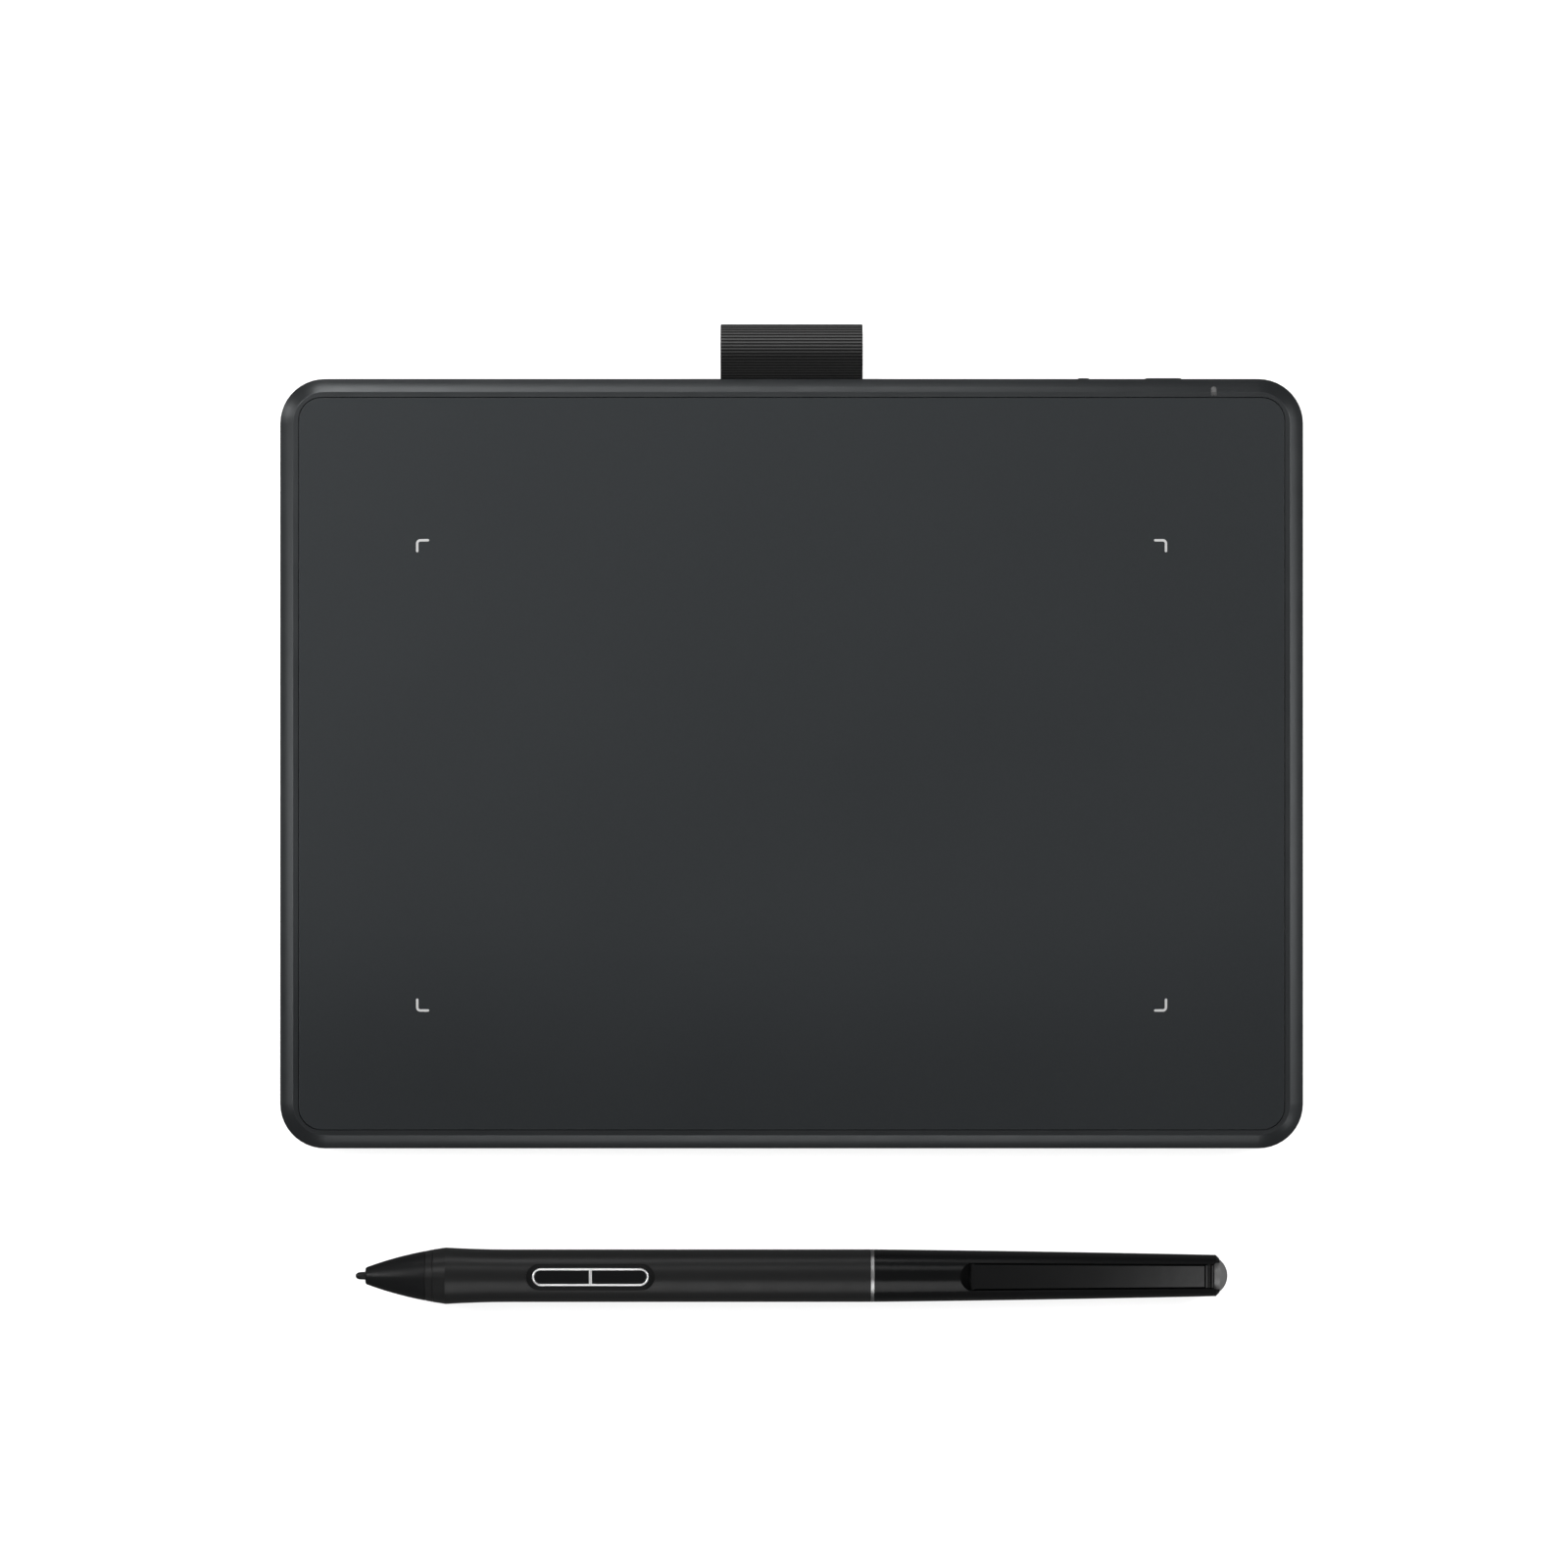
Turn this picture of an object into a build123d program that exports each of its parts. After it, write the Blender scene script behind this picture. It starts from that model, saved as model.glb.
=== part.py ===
from build123d import *
import os
from math import atan, cos, sin, sqrt

# A slim wireless pen drawing tablet and its battery-free pen, in millimetres.
#
# Row frame: +Z up, +X to the user's right, +Y away from the user. The origin is the
# centre of the set's footprint, on the surface that the set lies on. The tablet lies on
# its rubber feet, and the pen lies in front of it, parallel to its front edge.

# ---- Driving dimensions -------------------------------------------------------------

# tablet casing, in the tablet's own frame: its middle, and heights above the table
width, depth, height = 218.0, 164.0, 9.0
corner_radius = 9.5
foot_drop = 0.6          # how far the feet hold the bottom cover off the table
part_line = 2.6          # height of the split between the two covers
wall = 2.0               # side wall of the top cover
slope_run = 2.86         # the sloped edge: how far in it goes
slope_base = 6.9         # and the height where it starts
slope_crown = 0.14       # and how far it bulges from a straight slope
cavity_top = 7.4         # underside of the top cover's plate
floor_top = 2.0          # inside of the bottom cover's floor
lip_top = 3.5            # top of the bottom cover's locating lip

# drawing sheet, let into the top cover
sheet_inset = 4.1
sheet_radius = 4.8
sheet_thick = 0.56
sheet_groove = 0.16      # gap round the sheet
sheet_seat = 0.6         # depth of its seat
active_shift = -2.5      # the active area's middle is this far from the casing's

# rear edge: fabric pen loop and the ports, at these distances from the middle
loop_width, loop_reach, loop_height, band = 30.3, 11.8, 8.4, 0.9
loop_level = 4.6         # height of the loop's middle
rod_radius, rod_y = 1.3, 77.2   # rod inside the casing that holds the loop
port_level, control_level = 4.5, 5.2
usb_x, mode_x, power_x, led_x = 42.0, 62.3, 79.3, 89.9
guide_width = 1.14       # light guide, and how far in from the rear edge it starts and ends
guide_start, guide_end = 1.7, 3.6
socket_width, socket_height, socket_wall, socket_gap = 8.94, 3.16, 0.3, 0.18
button_width, button_height = 7.6, 1.8
knob_width, knob_height, mode_travel = 2.3, 1.5, 2.0
control_gap = 0.1        # gap round each of the two controls
proud = 0.25             # how far they stand out of the rear edge

# boards, with the control board along the rear edge
board_thick = 1.0
board_x0, board_x1, board_y0, board_y1 = 24.0, 94.5, 60.0, 78.6
board_z = 3.4
board_top = board_z + board_thick
sensor_width, sensor_depth = 178.0, 118.0
battery_x, battery_width, battery_depth, battery_thick = -40.0, 62.0, 38.0, 3.2

# pen: radii, and distances from the tip of the nib
pen_length = 185.95
pen_gap = 109.2          # from the tablet's middle to the pen's axis
nib_radius = 0.83
nib_travel = 0.5
nose_start, nose_end, nose_radius = 2.09, 14.9, 5.27
seam_depth = 0.08        # of the fine grooves in front of and behind the barrel's collar
shoulder_x, shoulder_radius = 16.5, 5.6
grip_x, grip_radius = 19.2, 6.03
barrel_start, barrel_radius = 32.75, 5.6
bore_radius = 4.0
ring_x, ring_thick = 109.75, 0.9
tail_x, tail_radius, tail_bevel = 183.45, 4.41, 0.75
cap_front, cap_radius = 183.0, 3.47      # where the tail cap starts, and its radius
keys_x, keys_length, keys_width = 50.15, 24.8, 3.76
frame_thick = 0.42
key_bar = 0.62           # bar between the two keys
key_travel = 0.3
clip_end, clip_root = 130.8, 181.4
notch_reach = 2.0        # the fingernail notch goes this far past the clip's end
clip_half, clip_root_half = 2.97, 2.62
clip_thick = 1.2
clip_fit = 0.12          # gap round the clip in its channel

# ---- Frames -------------------------------------------------------------------------

# the origin is half way between the loop's far edge and the pen's near edge
tablet_y = (pen_gap + grip_radius - depth / 2 - loop_reach) / 2
tablet = Plane(origin=(0, tablet_y, 0))
rear = depth / 2

# the pen rests on the ridge of its grip and on its barrel behind the ring, so it leans a little
rear_start = ring_x + ring_thick
lean = atan((barrel_radius - grip_radius) / (rear_start - grip_x))
along = (cos(lean), 0, sin(lean))
upward = (-sin(lean), 0, cos(lean))
pen_y = tablet_y - pen_gap
pen_tip_z = grip_radius * cos(lean) - grip_x * sin(lean)
pen = Plane(origin=(-pen_length / 2, pen_y, pen_tip_z), x_dir=along, z_dir=upward)
pen_side = Plane(origin=pen.origin, x_dir=along, z_dir=(0, -1, 0))
pen_axis = Axis(pen.origin, along)

os.makedirs("parts", exist_ok=True)


def save(built, name):
    """Labels a finished part and writes it as parts/name.step."""
    built.part.label = name
    export_step(built.part, f"parts/{name}.step")


def slab(x0, x1, y0, y1, z0, z1, mode=Mode.ADD):
    """A box between two corners, in the frame of the part being built."""
    with Locations(((x0 + x1) / 2, (y0 + y1) / 2, z0)):
        Box(x1 - x0, y1 - y0, z1 - z0, align=(Align.CENTER, Align.CENTER, Align.MIN), mode=mode)


def tops(part):
    """Faces of a pen part that look upwards, the largest one last."""
    level = part.faces().filter_by(lambda face: face.normal_at().dot(Vector(*upward)) > 0.99)
    return level.sort_by(SortBy.AREA)


def tube(x0, x1, radius, mode=Mode.ADD):
    """A cylinder along the pen's axis, in the frame of the pen part being built."""
    with Locations(((x0 + x1) / 2, 0, 0)):
        Cylinder(radius, x1 - x0, rotation=(0, 90, 0), mode=mode)


def guide_outline(size):
    """The light guide's outline: round at the rear, square at the end next to the sheet."""
    centre = guide_start + guide_width / 2
    with Locations((led_x, rear - centre)):
        Circle(size / 2)
    with Locations((led_x, rear - (centre + guide_end) / 2)):
        Rectangle(size, guide_end - centre + size - guide_width)


# ---- Tablet: casing -----------------------------------------------------------------

screw_points = [(x, y) for x in (-99, 0, 99) for y in (-72, 72) if (x, y) != (0, 72)]
screw_points += [(-30, 72), (-99, 0), (99, 0)]
screw_radius, screw_head_radius, screw_head = 0.8, 1.6, 1.0
boss_radius, boss_foot = 2.6, 2.7

# what the sloped edge leaves out, in the casing's own frame: a wedge with a hollow face
with BuildPart() as slope_cutter:
    with BuildLine():
        FilletPolyline((0, -rear), (width / 2, -rear), (width / 2, 0), radius=corner_radius)
    with BuildSketch(Plane(origin=(0, -rear, 0), x_dir=(0, 1, 0), z_dir=(1, 0, 0))):
        with BuildLine():
            SagittaArc((0, slope_base), (slope_run, height), slope_crown)
            Polyline(
                (slope_run, height), (slope_run, height + 1), (-1, height + 1),
                (-1, slope_base), (0, slope_base),
            )
        make_face()
    sweep()
    mirror(about=Plane.YZ)
    mirror(about=Plane.XZ)

with BuildPart(tablet) as top_cover:
    with BuildSketch(tablet.offset(part_line)):
        RectangleRounded(width, depth, corner_radius)
    extrude(amount=height - part_line)
    add(slope_cutter.part, mode=Mode.SUBTRACT)
    fillet(top_cover.edges().group_by(Axis.Z)[-1], 0.12)
    # seat of the drawing sheet, and the hollow underneath
    seat_inset = sheet_inset - sheet_groove
    with BuildSketch(tablet.offset(height - sheet_seat)):
        RectangleRounded(width - 2 * seat_inset, depth - 2 * seat_inset, sheet_radius + sheet_groove)
    extrude(amount=sheet_seat + 1, mode=Mode.SUBTRACT)
    with BuildSketch(tablet.offset(part_line)):
        RectangleRounded(width - 2 * wall, depth - 2 * wall, corner_radius - wall)
    extrude(amount=cavity_top - part_line, mode=Mode.SUBTRACT)
    chamfer(top_cover.faces().sort_by(Axis.Z)[0].outer_wire().edges(), 0.12)
    # screw bosses
    with BuildSketch(tablet.offset(boss_foot)):
        with Locations(*screw_points):
            Circle(boss_radius)
            Circle(screw_radius + 0.02, mode=Mode.SUBTRACT)
    extrude(amount=cavity_top - boss_foot)
    # two snap-in cradles for the rod that the pen loop hangs on
    for side in (-1, 1):
        x = side * (loop_width / 2 + 2.2)
        slab(x - 1.2, x + 1.2, rod_y - 2.4, rear - wall, loop_level - 0.6, cavity_top)
    with Locations((0, rod_y, loop_level)):
        Cylinder(rod_radius + 0.04, loop_width + 8, rotation=(0, 90, 0), mode=Mode.SUBTRACT)
    # openings in the rear wall
    slab(-loop_width / 2 - 0.25, loop_width / 2 + 0.25, rear - wall - 1, rear + 1,
         loop_level - 1.2, loop_level + 1.2, mode=Mode.SUBTRACT)
    with BuildSketch(Plane(origin=(0, tablet_y + rear + 1, 0), x_dir=(-1, 0, 0), z_dir=(0, 1, 0))):
        with Locations((-usb_x, port_level)):
            SlotOverall(socket_width + 2 * socket_gap, socket_height + 2 * socket_gap)
        with Locations((-mode_x - mode_travel / 2, control_level)):
            SlotOverall(knob_width + mode_travel + 2 * control_gap, knob_height + 2 * control_gap)
        with Locations((-power_x, control_level)):
            SlotOverall(button_width + 2 * control_gap, button_height + 2 * control_gap)
    extrude(amount=-wall - 2, mode=Mode.SUBTRACT)
    # window for the light guide, through the slope and the rim
    with BuildSketch(tablet.offset(cavity_top - 0.4)):
        guide_outline(guide_width + 0.04)
    extrude(amount=3, mode=Mode.SUBTRACT)
save(top_cover, "top_cover")

with BuildPart(tablet) as drawing_surface:
    with BuildSketch(tablet.offset(height - sheet_seat)):
        RectangleRounded(width - 2 * sheet_inset, depth - 2 * sheet_inset, sheet_radius)
    extrude(amount=sheet_thick)
    fillet(drawing_surface.faces().sort_by(Axis.Z)[-1].edges(), 0.14)
save(drawing_surface, "drawing_surface")

with BuildPart(tablet) as light_guide:
    with BuildSketch(tablet.offset(cavity_top - 0.4)):
        guide_outline(guide_width)
    extrude(amount=3)
    # its top follows the slope and the rim, and a narrow leg reaches down to the lamp
    with BuildSketch(Plane(origin=(led_x - 2, tablet_y + rear, 0), x_dir=(0, -1, 0), z_dir=(-1, 0, 0))):
        with BuildLine():
            SagittaArc((0, slope_base), (slope_run, height - 0.02), slope_crown)
            Polyline(
                (slope_run, height - 0.02), (8, height - 0.02), (8, height + 3),
                (-1, height + 3), (-1, slope_base), (0, slope_base),
            )
        make_face()
    extrude(amount=-4, mode=Mode.SUBTRACT)
    slab(led_x - 0.45, led_x + 0.45, rear - 4.1, rear - 2.9, board_top + 1.1, cavity_top - 0.4)
save(light_guide, "light_guide")

foot_length, foot_width, foot_corner, foot_seat = 24.0, 7.0, 3.4, 0.4
foot_points = [(x, y) for x in (-82, 82) for y in (-66, 66)]

with BuildPart(tablet) as bottom_cover:
    with BuildSketch(tablet.offset(foot_drop)):
        RectangleRounded(width, depth, corner_radius)
    extrude(amount=part_line - foot_drop)
    fillet(bottom_cover.faces().sort_by(Axis.Z)[0].edges(), 1.5)
    chamfer(bottom_cover.faces().sort_by(Axis.Z)[-1].edges(), 0.12)
    # hollow, with a lip that locates inside the top cover
    lip_out, lip_in = wall + 0.08, wall + 1.2
    with BuildSketch(tablet.offset(floor_top)):
        RectangleRounded(width - 2 * lip_in, depth - 2 * lip_in, corner_radius - lip_in)
    extrude(amount=3, mode=Mode.SUBTRACT)
    with BuildSketch(tablet.offset(part_line)):
        RectangleRounded(width - 2 * lip_out, depth - 2 * lip_out, corner_radius - lip_out)
        RectangleRounded(width - 2 * lip_in, depth - 2 * lip_in, corner_radius - lip_in, mode=Mode.SUBTRACT)
    extrude(amount=lip_top - part_line)
    # the lip stops short at the loop and along the ports
    for x0, x1 in ((-19.5, 19.5), (board_x0 - 1, board_x1 + 1)):
        slab(x0, x1, rear - 4, rear - wall, part_line, lip_top, mode=Mode.SUBTRACT)
    # screw pads, stiffening ribs and the control board's posts
    with BuildSketch(tablet.offset(floor_top)):
        with Locations(*screw_points):
            Circle(boss_radius + 0.6)
    extrude(amount=boss_foot - 0.02 - floor_top)
    for y in (-45, -28, 34, 51):
        slab(-88, 88, y - 0.5, y + 0.5, floor_top, floor_top + 1.0)
    board_posts = [(board_x0 + 9.5, 68), (72.5, 64)]
    with BuildSketch(tablet.offset(floor_top)):
        with Locations(*board_posts):
            Circle(2.2)
            Circle(0.72, mode=Mode.SUBTRACT)
    extrude(amount=board_z - floor_top)
    # seats of the feet and the screw holes, from below
    with BuildSketch(tablet.offset(foot_drop)):
        with Locations(*foot_points):
            RectangleRounded(foot_length + 0.1, foot_width + 0.1, foot_corner)
    extrude(amount=foot_seat, mode=Mode.SUBTRACT)
    with Locations(*[Location((x, y, foot_drop), (180, 0, 0)) for x, y in screw_points]):
        CounterBoreHole(screw_radius + 0.15, screw_head_radius + 0.2, screw_head + 0.1, depth=4)
save(bottom_cover, "bottom_cover")

with BuildPart(tablet) as rubber_feet:
    with BuildSketch(tablet):
        with Locations(*foot_points):
            RectangleRounded(foot_length, foot_width, foot_corner)
    extrude(amount=foot_drop + foot_seat)
    fillet(rubber_feet.edges().group_by(Axis.Z)[0], 0.25)
save(rubber_feet, "rubber_feet")

with BuildPart(tablet) as case_screws:
    with BuildSketch(tablet.offset(foot_drop + 0.1)):
        with Locations(*screw_points):
            Circle(screw_head_radius)
    extrude(amount=screw_head)
    with BuildSketch(tablet.offset(foot_drop + 0.1)):
        with Locations(*screw_points):
            Rectangle(1.7, 0.45)
            Rectangle(0.45, 1.7)
    extrude(amount=0.5, mode=Mode.SUBTRACT)
    with BuildSketch(tablet.offset(foot_drop + 0.1 + screw_head)):
        with Locations(*screw_points):
            Circle(screw_radius)
    extrude(amount=4.2)
save(case_screws, "case_screws")

# ---- Tablet: pen loop ---------------------------------------------------------------

with BuildPart(tablet) as pen_loop:
    loop_plane = Plane(origin=(-loop_width / 2, tablet_y, 0), x_dir=(0, 1, 0), z_dir=(1, 0, 0))
    end_radius = loop_height / 2
    end_y = rear + loop_reach - end_radius
    with BuildSketch(loop_plane):
        # outside and inside of the pear-shaped loop, each half drawn and mirrored
        for inner in (0, band):
            mouth_y = rear + 0.1 + inner * 0.6
            mouth = 0.0 if inner else band
            with BuildLine():
                top = (end_y, loop_level + end_radius - inner)
                bottom = (end_y, loop_level - end_radius + inner)
                drop = end_radius - inner - mouth
                run = end_y - mouth_y
                flank_radius = (run**2 + drop**2) / (2 * drop)
                JernArc(bottom, (1, 0), end_radius - inner, 180)
                RadiusArc(top, (mouth_y, loop_level + mouth), -flank_radius)
                RadiusArc((mouth_y, loop_level - mouth), bottom, -flank_radius)
                if mouth:
                    Line((mouth_y, loop_level + mouth), (mouth_y, loop_level - mouth))
            make_face(mode=Mode.SUBTRACT if inner else Mode.ADD)
        # the two plies, sewn together through the slot and round the rod
        with Locations((rod_y, loop_level)):
            Circle(rod_radius + band)
            Rectangle(rear + 0.1 - rod_y, 2 * band, align=(Align.MIN, Align.CENTER))
            Circle(rod_radius + 0.02, mode=Mode.SUBTRACT)
    extrude(amount=loop_width)
save(pen_loop, "pen_loop")

with BuildPart(tablet) as loop_rod:
    with Locations((0, rod_y, loop_level)):
        Cylinder(rod_radius, loop_width + 6, rotation=(0, 90, 0))
save(loop_rod, "loop_rod")

# ---- Tablet: boards and battery -----------------------------------------------------

sensor_y0 = active_shift - sensor_depth / 2
sensor_y1 = active_shift + sensor_depth / 2
sensor_z = cavity_top - 0.1 - board_thick
shield_thick, shield_short = 0.3, 8.0

with BuildPart(tablet) as sensor_board:
    slab(-sensor_width / 2, sensor_width / 2, sensor_y0, sensor_y1, sensor_z, sensor_z + board_thick)
save(sensor_board, "sensor_board")

with BuildPart(tablet) as shield_plate:
    slab(-sensor_width / 2 + 1, sensor_width / 2 - 1, sensor_y0 + 1, sensor_y1 - shield_short,
         sensor_z - 0.1 - shield_thick, sensor_z - 0.1)
save(shield_plate, "shield_plate")

with BuildPart(tablet) as control_board:
    slab(board_x0, board_x1, board_y0, board_y1, board_z, board_top)
    # notch for the socket, and the two screw holes
    slab(usb_x - 4.7, usb_x + 4.7, 73.9, board_y1 + 1, board_z - 1, board_top + 1, mode=Mode.SUBTRACT)
    with Locations(*[(x, y, board_top) for x, y in board_posts]):
        Hole(1.0)
save(control_board, "control_board")

with BuildPart(tablet) as board_screws:
    with Locations(*[(x, y, board_top) for x, y in board_posts]):
        Cylinder(1.7, 0.8, align=(Align.CENTER, Align.CENTER, Align.MIN))
        Cylinder(0.7, 2.2, align=(Align.CENTER, Align.CENTER, Align.MAX))
    with Locations(*[(x, y, board_top + 0.8) for x, y in board_posts]):
        Box(1.8, 0.4, 0.6, mode=Mode.SUBTRACT)
        Box(0.4, 1.8, 0.6, mode=Mode.SUBTRACT)
save(board_screws, "board_screws")

with BuildPart(tablet) as control_chips:
    # processor, radio can, charger and flash, as separate packages on the board
    packages = ((50, 66.5, 7, 0.9), (60.5, 66, 6, 1.4), (84, 66, 5, 0.9), (40.5, 64.5, 3, 0.8))
    for x, y, size, tall in packages:
        slab(x - size / 2, x + size / 2, y - size / 2, y + size / 2, board_top, board_top + tall)
save(control_chips, "control_chips")

socket_inset, socket_length, tongue_base = 0.3, 7.35, 1.5
socket_y = rear - socket_inset
with BuildPart(tablet) as usb_socket_shell:
    socket_plane = Plane(origin=(usb_x, tablet_y + socket_y, port_level), x_dir=(1, 0, 0), z_dir=(0, -1, 0))
    with BuildSketch(socket_plane):
        SlotOverall(socket_width, socket_height)
        SlotOverall(socket_width - 2 * socket_wall, socket_height - 2 * socket_wall, mode=Mode.SUBTRACT)
    extrude(amount=socket_length)
save(usb_socket_shell, "usb_socket_shell")

with BuildPart(tablet) as usb_socket_tongue:
    with BuildSketch(socket_plane.offset(socket_length - tongue_base)):
        tongue_fit = 2 * socket_wall + 0.04
        SlotOverall(socket_width - tongue_fit, socket_height - tongue_fit)
    extrude(amount=tongue_base)
    slab(usb_x - 3.3, usb_x + 3.3, socket_y - socket_length + 1, socket_y - 0.9,
         port_level - 0.35, port_level + 0.35)
save(usb_socket_tongue, "usb_socket_tongue")

with BuildPart(tablet) as status_led:
    slab(led_x - 0.8, led_x + 0.8, board_y1 - 0.75, board_y1 - 0.05, board_top, board_top + 0.8)
save(status_led, "status_led")

# outer faces of the two controls, looking forward from behind the casing
control_plane = Plane(origin=(0, tablet_y + rear + proud, 0), x_dir=(1, 0, 0), z_dir=(0, -1, 0))
with BuildPart(tablet) as power_switch_body:
    slab(power_x - 3, power_x + 3, 72.2, 75.8, board_top, board_top + 1.9)
    slab(power_x - 1.4, power_x + 1.4, 74.0, 76.0, control_level - 0.6, control_level + 0.6,
         mode=Mode.SUBTRACT)
save(power_switch_body, "power_switch_body")

with BuildPart(tablet) as power_switch_plunger:
    slab(power_x - 1.3, power_x + 1.3, 74.4, 76.5, control_level - 0.5, control_level + 0.5)
save(power_switch_plunger, "power_switch_plunger")

with BuildPart(tablet) as power_button:
    with BuildSketch(control_plane):
        with Locations((power_x, control_level)):
            SlotOverall(button_width, button_height)
    extrude(amount=wall + proud + 0.1)
    fillet(power_button.faces().sort_by(Axis.Y)[-1].edges(), 0.15)
    # flange that keeps it in, and a post that reaches the switch
    slab(power_x - 4.6, power_x + 4.6, rear - wall - 0.85, rear - wall - 0.05,
         control_level - 1.4, control_level + 1.4)
    slab(power_x - 1.0, power_x + 1.0, 76.5, rear - wall - 0.5, control_level - 0.5, control_level + 0.5)
save(power_button, "power_button")

with BuildPart(tablet) as mode_switch_body:
    middle = mode_x + mode_travel / 2
    slab(middle - 4, middle + 4, 73.2, 76.4, board_top, board_top + 1.7)
    slab(middle - 2.1, middle + 2.1, 74.6, 76.5, control_level - 0.6, control_level + 0.6,
         mode=Mode.SUBTRACT)
save(mode_switch_body, "mode_switch_body")

with BuildPart(tablet) as mode_switch_knob:
    with BuildSketch(control_plane):
        with Locations((mode_x, control_level)):
            SlotOverall(knob_width, knob_height)
    extrude(amount=wall + proud + 0.2)
    fillet(mode_switch_knob.faces().sort_by(Axis.Y)[-1].edges(), 0.15)
    slab(mode_x - 0.7, mode_x + 0.7, 75.0, rear - wall - 0.1, control_level - 0.5, control_level + 0.5)
save(mode_switch_knob, "mode_switch_knob")

battery_z = floor_top + 0.2
with BuildPart(tablet) as battery:
    with BuildSketch(tablet.offset(battery_z)):
        with Locations((battery_x, 0)):
            Rectangle(battery_width, battery_depth)
    extrude(amount=battery_thick)
    fillet(battery.edges().filter_by(Axis.Y), 1.3)
save(battery, "battery")

with BuildPart(tablet) as battery_connector:
    slab(board_x0 + 0.5, board_x0 + 5, 62, 68, board_top, board_top + 1.9)
save(battery_connector, "battery_connector")

lead_radius, lead_z, lead_gap = 0.45, battery_z + 2.4, 0.6
battery_end = battery_x + battery_width / 2
for colour, side in (("red", -1), ("black", 1)):
    with BuildPart(tablet) as battery_lead:
        # out of the battery's side, back along the casing and into the connector
        start_y = 12 + side * lead_gap
        turn_x = 10 - side * lead_gap
        end_y_lead = 65 + side * lead_gap
        ramp = board_top + 0.9
        with BuildLine(tablet) as route:
            FilletPolyline(
                (battery_end, start_y, lead_z), (turn_x, start_y, lead_z),
                (turn_x, end_y_lead, ramp), (board_x0 + 0.5, end_y_lead, ramp),
                radius=6,
            )
        with BuildSketch(Plane(origin=route.line @ 0, z_dir=route.line % 0)):
            Circle(lead_radius)
        sweep()
    save(battery_lead, f"battery_lead_{colour}")

ribbon_x, ribbon_width, ribbon_thick = 55.0, 16.0, 0.2
sensor_plug_y, control_plug_y = sensor_y1 - 5, board_y0 + 0.4
with BuildPart(tablet) as ribbon_connectors:
    slab(ribbon_x - 9, ribbon_x + 9, sensor_plug_y, sensor_plug_y + 3.6, sensor_z - 1.2, sensor_z)
    slab(ribbon_x - 9, ribbon_x + 9, control_plug_y, control_plug_y + 2.0, board_top, board_top + 1.2)
save(ribbon_connectors, "ribbon_connectors")

with BuildPart(tablet) as sensor_ribbon:
    with BuildLine(Plane(origin=(ribbon_x, tablet_y, 0), x_dir=(0, 1, 0), z_dir=(1, 0, 0))) as drape:
        FilletPolyline(
            (sensor_plug_y + 3.6, sensor_z - 0.5), (sensor_y1 + 0.6, sensor_z - 0.5),
            (sensor_y1 + 1.9, board_top + 0.5), (control_plug_y, board_top + 0.5),
            radius=0.7,
        )
    with BuildSketch(Plane(origin=drape.line @ 0, x_dir=(1, 0, 0), z_dir=drape.line % 0)):
        Rectangle(ribbon_width, ribbon_thick)
    sweep()
save(sensor_ribbon, "sensor_ribbon")

# ---- Pen: nib and nose --------------------------------------------------------------

nib_end = 20.4
with BuildPart(pen) as pen_nib:
    with BuildSketch(pen_side):
        with BuildLine():
            Line((0, 0), (nib_end, 0))
            Polyline((nib_end, 0), (nib_end, 0.75), (4, 0.75), (3.6, nib_radius), (1.5, nib_radius))
            Spline((1.5, nib_radius), (0.3, 0.55), (0, 0), tangents=((-1, 0), (0, -1)))
        make_face()
    revolve(axis=pen_axis)
save(pen_nib, "pen_nib")

with BuildPart(pen) as pen_nose_cone:
    with BuildSketch(pen_side):
        with BuildLine():
            TangentArc((nose_start, 1.3), (2.6, 1.93), tangent=(0, 1))
            ThreePointArc((2.6, 1.93), (8.5, 3.81), (nose_end - seam_depth, nose_radius))
            Polyline(
                (nose_end - seam_depth, nose_radius), (nose_end, nose_radius - seam_depth),
                (nose_end, bore_radius - 0.03), (nose_end + 4, bore_radius - 0.03),
                (nose_end + 4, 3.2), (nose_end, 3.2), (7.2, 2.62), (5.6, 0.95), (nose_start, 0.95),
                (nose_start, 1.3),
            )
        make_face()
    revolve(axis=pen_axis)
save(pen_nose_cone, "pen_nose_cone")

# ---- Pen: barrel, keys and ring -----------------------------------------------------

land = 4.55                                # height of the flat round the keys
land_length, land_width = 27.35, 5.6
frame_top, key_top, key_foot = 5.32, 5.12, 3.95

with BuildPart(pen) as pen_front_barrel:
    with BuildSketch(pen_side):
        with BuildLine():
            Polyline(
                (nose_end, nose_radius - seam_depth), (nose_end + seam_depth, nose_radius + 0.02),
                (shoulder_x - seam_depth, shoulder_radius - 0.02), (shoulder_x, shoulder_radius - seam_depth),
                (shoulder_x + seam_depth, shoulder_radius + 0.02), (grip_x, grip_radius),
            )
            TangentArc((barrel_start, barrel_radius), (grip_x, grip_radius), tangent=(-1, 0))
            Polyline(
                (barrel_start, barrel_radius), (ring_x, barrel_radius), (ring_x, bore_radius),
                (nose_end, bore_radius), (nose_end, nose_radius - seam_depth),
            )
        make_face()
    revolve(axis=pen_axis)
    # flat round the keys, and the slot that they sit in
    with BuildSketch(pen.offset(land)):
        with Locations((keys_x, 0)):
            SlotOverall(land_length, land_width)
    extrude(amount=2, mode=Mode.SUBTRACT)
    with BuildSketch(pen.offset(2)):
        with Locations((keys_x, 0)):
            SlotOverall(keys_length + 0.04, keys_width + 0.04)
    extrude(amount=5, mode=Mode.SUBTRACT)
save(pen_front_barrel, "pen_front_barrel")

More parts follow.
